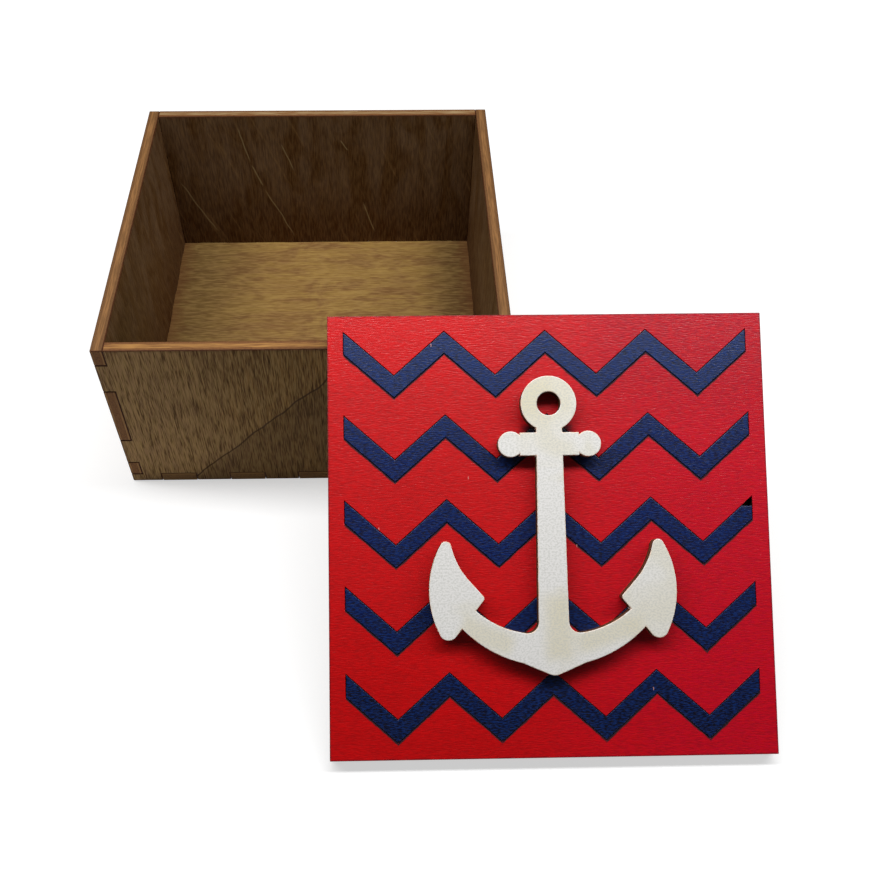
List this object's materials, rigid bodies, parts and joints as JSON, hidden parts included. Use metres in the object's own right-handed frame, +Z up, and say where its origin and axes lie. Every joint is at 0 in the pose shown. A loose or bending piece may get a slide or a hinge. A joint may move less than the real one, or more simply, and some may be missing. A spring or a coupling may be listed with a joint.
{
  "type": "plywood keepsake box with lift-off lid",
  "caption": "Square finger-jointed plywood box, its lift-off lid leaning on the front rim, with zigzag inlays and an anchor cut-out.",
  "frame": {"origin": "middle of the box's underside, on the surface it stands on", "axes": "+Z up, +X to the right along the front wall, -Y out of the front wall, where the lid leans"},
  "size_m": [0.1561, 0.1814, 0.0586],
  "materials": {
    "stained_ply": "brown stain, matt",
    "red_ply": "red stain, matt",
    "blue_ply": "blue stain, matt",
    "pale_ply": "pale, bare"
  },
  "bodies": {
    "box": {"front_panel": "stained_ply", "back_panel": "stained_ply", "left_panel": "stained_ply", "right_panel": "stained_ply", "bottom_panel": "stained_ply"},
    "lid": {"lid_panel": "red_ply", "lid_liner": "stained_ply", "chevron_inlay_1": "blue_ply", "chevron_inlay_2": "blue_ply", "chevron_inlay_3": "blue_ply", "chevron_inlay_4": "blue_ply", "chevron_inlay_5": "blue_ply", "anchor": "pale_ply"}
  },
  "joints": [
    {"name": "lid_lift", "type": "slide", "parent": "box", "child": "lid", "axis": [0, 0, 1], "range_m": [0, 0.06]}
  ]
}
